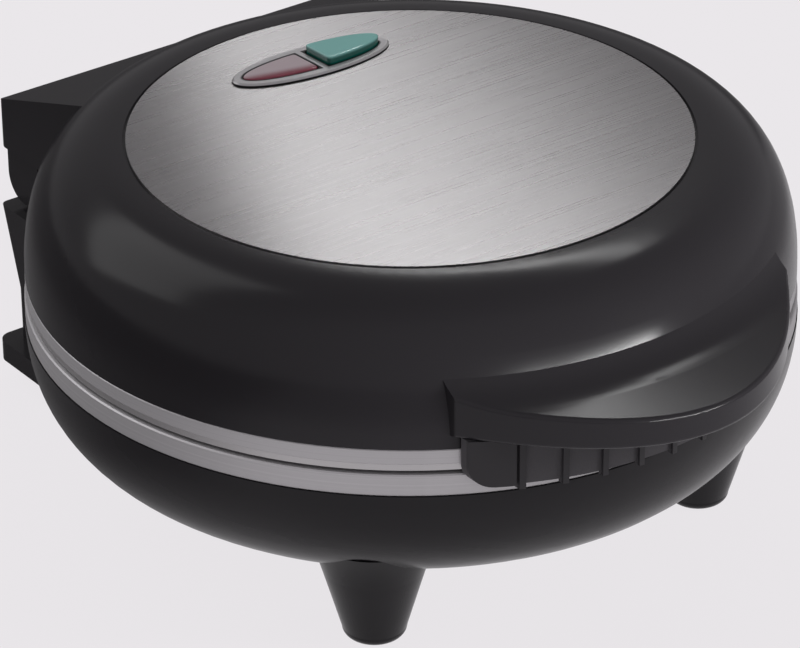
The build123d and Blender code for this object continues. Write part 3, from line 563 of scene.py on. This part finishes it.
pad_rubber = rubber("moulded_rubber", "#1d1c1d", "#2d2b2b", roughness=0.8, grain_mm=0.4)
sleeve_rubber = rubber("soft_black_rubber", "#1b1a1b", "#262425", roughness=0.65, grain_mm=0.5)
lead_silicone = rubber("white_silicone_sleeve", "#cfcbc2", "#b7b2a6", roughness=0.5, grain_mm=0.3)

# %% [markdown]
# The pilot lights are two windows in an oval of satin grey plastic, with a divider between them. Its
# outer foot stands in a narrow dark gap, and another goes round each window: the eye reads both as thin
# lines drawn round the oval and the lenses. The dark is shade, as light hardly gets into gaps this narrow,
# but a picture this small would blur it, so the shade is painted: the walls that line the gaps are dark in
# the material itself.

# %% Places on the bezel
DISC_TOP = 115.7 * MM  # height of the steel disc's face
WINDOW_TURN = math.radians(4.0)  # the windows' centre is turned this far to the right of straight back
WINDOW_RADIUS = 53.5 * MM  # and is this far from the body's axis
WINDOW_CENTRE = (WINDOW_RADIUS * math.sin(WINDOW_TURN), BODY_Y + WINDOW_RADIUS * math.cos(WINDOW_TURN))
print("windows centred at", np.round(WINDOW_CENTRE, 4))

# %% Painted shade in the gap round the windows
GAP_SHADE_OVAL = (24.1 * MM, 6.8 * MM)  # half length and half width of the oval round both windows
DIVIDER_LEAN = math.radians(7.0)
DIVIDER_WAY = (math.cos(DIVIDER_LEAN), math.sin(DIVIDER_LEAN), 0.0)  # straight across the divider
DIVIDER_PLACE = 0.2 * MM  # how far its middle line is from the windows' centre
DIVIDER_HALF = 0.85 * MM  # half of its width


def window_gap_shade_mask(tree, place):
    """
    1 where the shade is painted, beside the windows, and 0 elsewhere. With x and y from the windows'
    centre and turned with them, a point is in the oval where (x / half length, y / half width) is shorter
    than 1, and on the divider where its dot product with the divider's direction is within DIVIDER_HALF
    of DIVIDER_PLACE.
    """
    centred = node(
        tree, "ShaderNodeVectorMath", links=[(0, place.outputs["Object"])], operation="SUBTRACT",
        _1=(*WINDOW_CENTRE, 0.0),
    )
    turned = node(
        tree, "ShaderNodeMapping", links=[("Vector", centred.outputs[0])],
        Rotation=(0.0, 0.0, WINDOW_TURN), Scale=(1.0, 1.0, 0.0),
    )
    ratio = node(
        tree, "ShaderNodeVectorMath", links=[(0, turned.outputs[0])], operation="DIVIDE",
        _1=(*GAP_SHADE_OVAL, 1.0),
    )
    radius = node(tree, "ShaderNodeVectorMath", links=[(0, ratio.outputs[0])], operation="LENGTH")
    inside = node(
        tree, "ShaderNodeMapRange", links=[("Value", radius.outputs["Value"])],
        From_Min=0.98, From_Max=1.01, To_Min=1.0, To_Max=0.0,
    )
    across = node(
        tree, "ShaderNodeVectorMath", links=[(0, turned.outputs[0])], operation="DOT_PRODUCT",
        _1=DIVIDER_WAY,
    )
    offset = node(
        tree, "ShaderNodeMath", links=[(0, across.outputs["Value"])], operation="SUBTRACT",
        _1=DIVIDER_PLACE,
    )
    away = node(tree, "ShaderNodeMath", links=[(0, offset.outputs[0])], operation="ABSOLUTE")
    beside = node(
        tree, "ShaderNodeMapRange", links=[("Value", away.outputs[0])],
        From_Min=DIVIDER_HALF - 0.1 * MM, From_Max=DIVIDER_HALF + 0.1 * MM,
    )
    return node(
        tree, "ShaderNodeMath", links=[(0, inside.outputs["Result"]), (1, beside.outputs["Result"])],
        operation="MULTIPLY",
    )


print("the gap's oval is", np.round(2 * np.array(GAP_SHADE_OVAL) / MM, 1), "mm")

# %% Bezel plastic
# the foot's walls are painted dark up to this height above the disc, as shade in the gap round it
FOOT_SHADE_HEIGHT = 0.65 * MM


def bezel_plastic(name, face_colour, gap_shade_colour):
    """Satin plastic, with shade painted on its foot above the disc and in the gap round the windows."""
    made, tree = new_material(name)
    place = node(tree, "ShaderNodeTexCoord")
    # the walls round the windows are painted dark, as shade
    gap = window_gap_shade_mask(tree, place)
    face = node(
        tree, "ShaderNodeMix", links=[("Factor", gap.outputs[0])], data_type="RGBA",
        _6=linear(face_colour), _7=linear(gap_shade_colour),
    )
    parts = node(tree, "ShaderNodeSeparateXYZ", links=[("Vector", place.outputs["Object"])])
    # 1 above the foot, where the painted shade ends
    clear_of_foot_shade = node(
        tree, "ShaderNodeMapRange", links=[("Value", parts.outputs["Z"])],
        From_Min=DISC_TOP + FOOT_SHADE_HEIGHT * 0.8, From_Max=DISC_TOP + FOOT_SHADE_HEIGHT,
    )
    tone = node(
        tree, "ShaderNodeMix", links=[("Factor", clear_of_foot_shade.outputs["Result"]), (7, face.outputs[2])],
        data_type="RGBA", _6=linear(gap_shade_colour),
    )
    bump = relief(tree, in_millimetres(tree), 0.5, detail=3.0, strength=0.25, height=0.02 * MM)
    skin = node(
        tree, "ShaderNodeBsdfPrincipled",
        links=[("Base Color", tone.outputs[2]), ("Normal", bump.outputs["Normal"])],
        Roughness=0.36, IOR=1.5, Metallic=0.6,
    )
    node(tree, "ShaderNodeOutputMaterial", links=[("Surface", skin.outputs[0])])
    return made


# the dark gap colour is painted shade, on the foot and round the windows
bezel_abs = bezel_plastic("satin_grey_abs", face_colour="#b9b7b9", gap_shade_colour="#1c1b1d")


# %% [markdown]
# The lenses are tinted polycarbonate. Light that crosses the thin top comes back pale, and light that
# runs through the thick side comes back deep. Colour inside the plastic would do this by itself, but it
# renders slowly and an exported model would lose it, so the tint is a gradient on the surface. On the
# tall green lens it follows the height. The red one is flat, and its deep side is the near edge, so its
# gradient leans: the level rises towards the back and a little to the right.

# %% Lens plastic
def tinted_lens(name, pale, deep, low, high, way):
    """Clear plastic, deep where a point's dot product with `way` is below `low`, pale above `high`."""
    made, tree = new_material(name)
    place = node(tree, "ShaderNodeTexCoord")
    lean = node(
        tree, "ShaderNodeVectorMath", links=[(0, place.outputs["Object"])], operation="DOT_PRODUCT",
        _1=way,
    )
    rise = node(
        tree, "ShaderNodeMapRange", links=[("Value", lean.outputs["Value"])],
        From_Min=low, From_Max=high, interpolation_type="SMOOTHSTEP",
    )
    tone = node(
        tree, "ShaderNodeMix", links=[("Factor", rise.outputs["Result"])], data_type="RGBA",
        _6=linear(deep), _7=linear(pale),
    )
    bump = relief(tree, in_millimetres(tree), 6.0, detail=1.0, strength=0.3, height=0.15 * MM)
    skin = node(
        tree, "ShaderNodeBsdfPrincipled",
        links=[("Base Color", tone.outputs[2]), ("Normal", bump.outputs["Normal"])],
        Roughness=0.12, IOR=1.58, Transmission_Weight=0.25, Coat_Weight=0.3,
    )
    node(tree, "ShaderNodeOutputMaterial", links=[("Surface", skin.outputs[0])])
    return made


# %% Lenses
UPWARDS = (0.0, 0.0, 1.0)
GREEN_LOW = DISC_TOP + 2.4 * MM
GREEN_HIGH = DISC_TOP + 3.6 * MM
LEAN = 0.12  # how much the red lens's level rises with each metre along the disc
RED_WAY = (0.24 * LEAN, 0.98 * LEAN, 1.0)
RED_TOP = float(np.dot(RED_WAY, (*WINDOW_CENTRE, DISC_TOP + 1.4 * MM)))
RED_LOW = RED_TOP - LEAN * 6.4 * MM
RED_HIGH = RED_TOP - LEAN * 2.2 * MM
red_lens = tinted_lens(
    "red_polycarbonate", pale="#d8c6cc", deep="#8f2f46", low=RED_LOW, high=RED_HIGH, way=RED_WAY
)
green_lens = tinted_lens(
    "green_polycarbonate", pale="#96ddd6", deep="#0b6a5e", low=GREEN_LOW, high=GREEN_HIGH, way=UPWARDS
)
print("the red goes from deep to pale in", round((RED_HIGH - RED_LOW) / LEAN / MM, 1), "mm")


# %% [markdown]
# The neon lamps are small glass tubes under the lenses. Their electrodes could be modelled too, but seen
# through tinted plastic a lamp is only a hint, so plain clear glass with a faint ripple is enough.

# %% Lamp glass
def clear_glass(name, colour, ripple_mm):
    """Clear glass with a faint ripple."""
    made, tree = new_material(name)
    bump = relief(tree, in_millimetres(tree), ripple_mm, detail=1.0, strength=0.2, height=0.1 * MM)
    skin = node(
        tree, "ShaderNodeBsdfPrincipled", links=[("Normal", bump.outputs["Normal"])],
        Base_Color=linear(colour), Roughness=0.05, IOR=1.5, Transmission_Weight=0.9,
    )
    node(tree, "ShaderNodeOutputMaterial", links=[("Surface", skin.outputs[0])])
    return made


lamp_glass = clear_glass("clear_lamp_glass", "#f3efe8", ripple_mm=3.0)

# %% [markdown]
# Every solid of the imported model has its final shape, so none of them is replaced: each keeps its mesh
# and gets one finish. The finish could be looked up from the record's slots, but a table by name shows
# the whole object at a glance, and the line printed below it names any solid that it leaves out.

# %% Dress the solids
FINISH = {
    "lid_cover": black_abs,
    "base_housing": black_abs,
    "handle_guard": guard_abs,
    "lamp_holder": inner_pbt,
    "foot_pads": pad_rubber,
    "cord_inlet": sleeve_rubber,
    "inlet_nut": inner_pbt,
    "terminal_block": nylon,
    "lead_clamp": inner_pbt,
    "base_rim_band": band_aluminium,
    "lid_rim_band": band_aluminium,
    "lower_cooking_plate": plate_coat,
    "upper_cooking_plate": plate_coat,
    "lower_heating_element": sheath,
    "upper_heating_element": sheath,
    "lower_heat_shield": shield_sheet,
    "upper_heat_shield": shield_sheet,
    "base_screws": zinc,
    "lid_screws": zinc,
    "hinge_pins": pin_steel,
    "steel_disc": disc_steel,
    "light_bezel": bezel_abs,
    "power_lens": red_lens,
    "ready_lens": green_lens,
    "neon_lamps": lamp_glass,
    "thermostat": phenolic,
    "thermal_fuse": tinned,
    "base_leads": lead_silicone,
    "lid_leads": lead_silicone,
}
for name, finish in FINISH.items():
    NODES[name].data.materials.clear()
    NODES[name].data.materials.append(finish)
print("dressed", len(FINISH), "of", len(NODES), "solids; left", sorted(set(NODES) - set(FINISH)))

# %% [markdown]
# A plain pale floor carries the object. It could be lit until it looks pale enough, but that much light
# would wash the black plastic out. So for the camera most of its brightness is its own, which keeps the
# background even, and the rest is paper that takes the object's shadow.
#
# The gloss mirrors the floor too, and there the picture shows it less bright: lighter in front and on
# the right, darker at the back left, and dim far from the object, like a lit table in a darker room.
# The same glow gets that level for mirrored rays, by the place on the floor where the ray lands.

# %% Floor sheet
FLOOR_HALF = 6.0
corners = FLOOR_HALF * np.array([[-1, -1, 0], [1, -1, 0], [1, 1, 0], [-1, 1, 0]])
sheet = bpy.data.meshes.new("floor")
sheet.from_pydata(corners.tolist(), [], [(0, 1, 2, 3)])
floor = bpy.data.objects.new("floor", sheet)
bpy.context.scene.collection.objects.link(floor)
print("floor", 2 * FLOOR_HALF, "m square")


# %% Level of the mirrored floor
MIRRORED_LIT = 0.74
MIRRORED_SHADED = 0.17
SHADE_WAY = (-0.4, 1.0, 0.0)  # towards the back and a little to the left
SHADE_FROM = -20.0 * MM
SHADE_TO = 120.0 * MM
POOL_EDGE = 220.0 * MM
POOL_END = 420.0 * MM
POOL_FAR = 0.4


def mirrored_level(tree):
    """
    Brightness of the floor as the gloss sees it: from lit to shaded as a point's dot product with
    SHADE_WAY grows, times a share that falls from 1 to POOL_FAR with the distance from the origin.
    """
    spot = node(tree, "ShaderNodeTexCoord")
    side = node(
        tree, "ShaderNodeVectorMath", links=[(0, spot.outputs["Object"])], operation="DOT_PRODUCT",
        _1=SHADE_WAY,
    )
    shade = node(
        tree, "ShaderNodeMapRange", links=[("Value", side.outputs["Value"])],
        From_Min=SHADE_FROM, From_Max=SHADE_TO, To_Min=MIRRORED_LIT, To_Max=MIRRORED_SHADED,
        interpolation_type="SMOOTHSTEP",
    )
    reach = node(tree, "ShaderNodeVectorMath", links=[(0, spot.outputs["Object"])], operation="LENGTH")
    pool = node(
        tree, "ShaderNodeMapRange", links=[("Value", reach.outputs["Value"])],
        From_Min=POOL_EDGE, From_Max=POOL_END, To_Min=1.0, To_Max=POOL_FAR,
        interpolation_type="SMOOTHSTEP",
    )
    return node(
        tree, "ShaderNodeMath", links=[(0, shade.outputs["Result"]), (1, pool.outputs["Result"])],
        operation="MULTIPLY",
    )


print("mirrored floor goes from", MIRRORED_LIT, "to", MIRRORED_SHADED)

# %% Floor finish
PALE = "#edeaed"  # the picture's background, used for the floor and for the room round it
OWN_LIGHT = 0.93  # share of the floor's brightness that is its own, where it is seen or mirrored


def seen_directly(tree, ray):
    """1 for a ray from the camera, straight or through glass, and 0 for one that lights or mirrors."""
    return node(
        tree, "ShaderNodeMath", operation="MAXIMUM",
        links=[(0, ray.outputs["Is Camera Ray"]), (1, ray.outputs["Is Transmission Ray"])],
    )


def pale_paper(name, colour):
    """
    Paper that mixes a plain diffuse surface with a glow of its own colour. The glow's share is
    OWN_LIGHT for seen and mirrored rays and 0 for the light that the floor throws on the object. Its
    strength is 1 where it is seen and the mirrored level where it is mirrored.
    """
    made, tree = new_material(name)
    ray = node(tree, "ShaderNodeLightPath")
    seen = seen_directly(tree, ray)
    shown = node(
        tree, "ShaderNodeMath", links=[(0, seen.outputs[0]), (1, ray.outputs["Is Glossy Ray"])],
        operation="MAXIMUM",
    )
    share = node(
        tree, "ShaderNodeMath", links=[(0, shown.outputs[0])], operation="MULTIPLY", _1=OWN_LIGHT
    )
    mirrored = mirrored_level(tree)
    level = node(
        tree, "ShaderNodeMix", links=[("Factor", seen.outputs[0]), (2, mirrored.outputs[0])], _3=1.0
    )
    paper = node(tree, "ShaderNodeBsdfDiffuse", Color=linear(colour))
    glow = node(
        tree, "ShaderNodeEmission", links=[("Strength", level.outputs[0])], Color=linear(colour)
    )
    both = node(
        tree, "ShaderNodeMixShader",
        links=[("Fac", share.outputs[0]), (1, paper.outputs[0]), (2, glow.outputs[0])],
    )
    node(tree, "ShaderNodeOutputMaterial", links=[("Surface", both.outputs[0])])
    return made


floor.data.materials.append(pale_paper("pale_backdrop", PALE))

# %% [markdown]
# A picture of a studio could surround the object, but soft panels are easier to set: each one makes one
# highlight, which moves when the panel moves. A narrow panel high on the right is what the brushed disc
# spreads into its bright band. A large one high behind the object gives the lid's far side its sheen. A
# third at the front right lifts the shaded plastic, and is hidden from the gloss, where the real
# object shows no image of it.

# %% Panels
LIT_CENTRE = np.array([0.0, 0.0, 80.0 * MM])


def soft_panel(name, place, size, power, hint):
    """
    A rectangular area light that faces LIT_CENTRE. It shines along its own -Z, so its Z points away
    from the centre, and its first side is the cross product of the hint and that.
    """
    data = bpy.data.lights.new(name, "AREA")
    data.shape = "RECTANGLE"
    data.size, data.size_y = size
    data.energy = power
    made = bpy.data.objects.new(name, data)
    bpy.context.scene.collection.objects.link(made)
    away = np.array(place, float) - LIT_CENTRE
    away /= np.linalg.norm(away)
    side = np.cross(hint, away)
    side /= np.linalg.norm(side)
    made.matrix_world = standing(side, np.cross(away, side), away, place)
    print(name, "at", place, "m,", size, "m,", power, "W")
    return made


BACKWARDS = (0.0, 1.0, 0.0)
soft_panel("band_panel", place=(0.4, 0.31, 0.62), size=(0.04, 0.5), power=0.64, hint=BACKWARDS)
soft_panel("back_panel", place=(-0.6, 0.9, 1.0), size=(1.3, 0.9), power=4.5, hint=BACKWARDS)
fill = soft_panel("fill_panel", place=(0.9, -1.2, 0.7), size=(0.6, 0.4), power=6.0, hint=BACKWARDS)
fill.visible_glossy = False

# %% [markdown]
# The moulded edges above the handle each carry a thin bright line. A long low panel in front makes them,
# but it would draw streaks on the base and the bands too, where the picture has none. Light linking
# keeps it for the lid: a light with a collection of receivers reaches only what is in that collection.

# %% Edge panel
edge = soft_panel("edge_panel", place=(0.22, -1.1, 0.165), size=(0.85, 0.03), power=9.0, hint=UPWARDS)
lit_by_edge = bpy.data.collections.new("lit_by_edge")
lit_by_edge.objects.link(NODES["lid_cover"])
edge.light_linking.receiver_collection = lit_by_edge

# %% [markdown]
# The surround is the room beyond the floor's edge. One even brightness would be simpler, but it would
# light the object flatly and grey all of its gloss, so the room has three levels. Seen directly it is as
# pale as the floor. As light it is weak, and weaker still from the left, so that the object has a shaded
# side. Mirrored it is a middle grey. It is darkest high at the back right, which is the part that the
# disc mirrors to the camera, because against a pale room the disc's bright band would be lost.

# %% Surround
DIM_WAY = (0.3, 0.68, 0.67)
ROOM_MIRRORED = 0.52
ROOM_DIM = 0.31
ROOM_LIGHT = 0.35
LEFT_SHARE = 0.6


def pale_room(name, colour):
    """
    A world with three levels of one colour. Mirrored: from ROOM_MIRRORED to ROOM_DIM as the dot product
    of a direction and DIM_WAY grows. As light: ROOM_LIGHT times a share that rises from LEFT_SHARE on
    the left to 1 at the middle. Seen directly: 1.
    """
    made = bpy.data.worlds.new(name)
    made.use_nodes = True
    tree = made.node_tree
    tree.nodes.clear()
    ray = node(tree, "ShaderNodeLightPath")
    way = node(tree, "ShaderNodeTexCoord")
    facing = node(
        tree, "ShaderNodeVectorMath", links=[(0, way.outputs["Generated"])], operation="DOT_PRODUCT",
        _1=DIM_WAY,
    )
    level = node(
        tree, "ShaderNodeMapRange", links=[("Value", facing.outputs["Value"])],
        From_Min=0.1, From_Max=0.8, To_Min=ROOM_MIRRORED, To_Max=ROOM_DIM,
        interpolation_type="SMOOTHSTEP",
    )
    parts = node(tree, "ShaderNodeSeparateXYZ", links=[("Vector", way.outputs["Generated"])])
    breadth = node(
        tree, "ShaderNodeMapRange", links=[("Value", parts.outputs["X"])],
        From_Min=-0.9, From_Max=0.2, To_Min=LEFT_SHARE, To_Max=1.0, interpolation_type="SMOOTHSTEP",
    )
    soft = node(
        tree, "ShaderNodeMath", links=[(0, breadth.outputs["Result"])], operation="MULTIPLY",
        _1=ROOM_LIGHT,
    )
    light = node(
        tree, "ShaderNodeBackground", links=[("Strength", soft.outputs[0])], Color=linear(colour)
    )
    mirrored = node(
        tree, "ShaderNodeBackground", links=[("Strength", level.outputs["Result"])], Color=linear(colour)
    )
    seen = node(tree, "ShaderNodeBackground", Color=linear(colour), Strength=1.0)
    unseen = node(
        tree, "ShaderNodeMixShader",
        links=[("Fac", ray.outputs["Is Glossy Ray"]), (1, light.outputs[0]), (2, mirrored.outputs[0])],
    )
    mix = node(
        tree, "ShaderNodeMixShader",
        links=[("Fac", seen_directly(tree, ray).outputs[0]), (1, unseen.outputs[0]), (2, seen.outputs[0])],
    )
    node(tree, "ShaderNodeOutputWorld", links=[("Surface", mix.outputs[0])])
    return made


bpy.context.scene.world = pale_room("surround", PALE)
print("room mirrored at", ROOM_MIRRORED, "to", ROOM_DIM, "and lit at", ROOM_LIGHT)
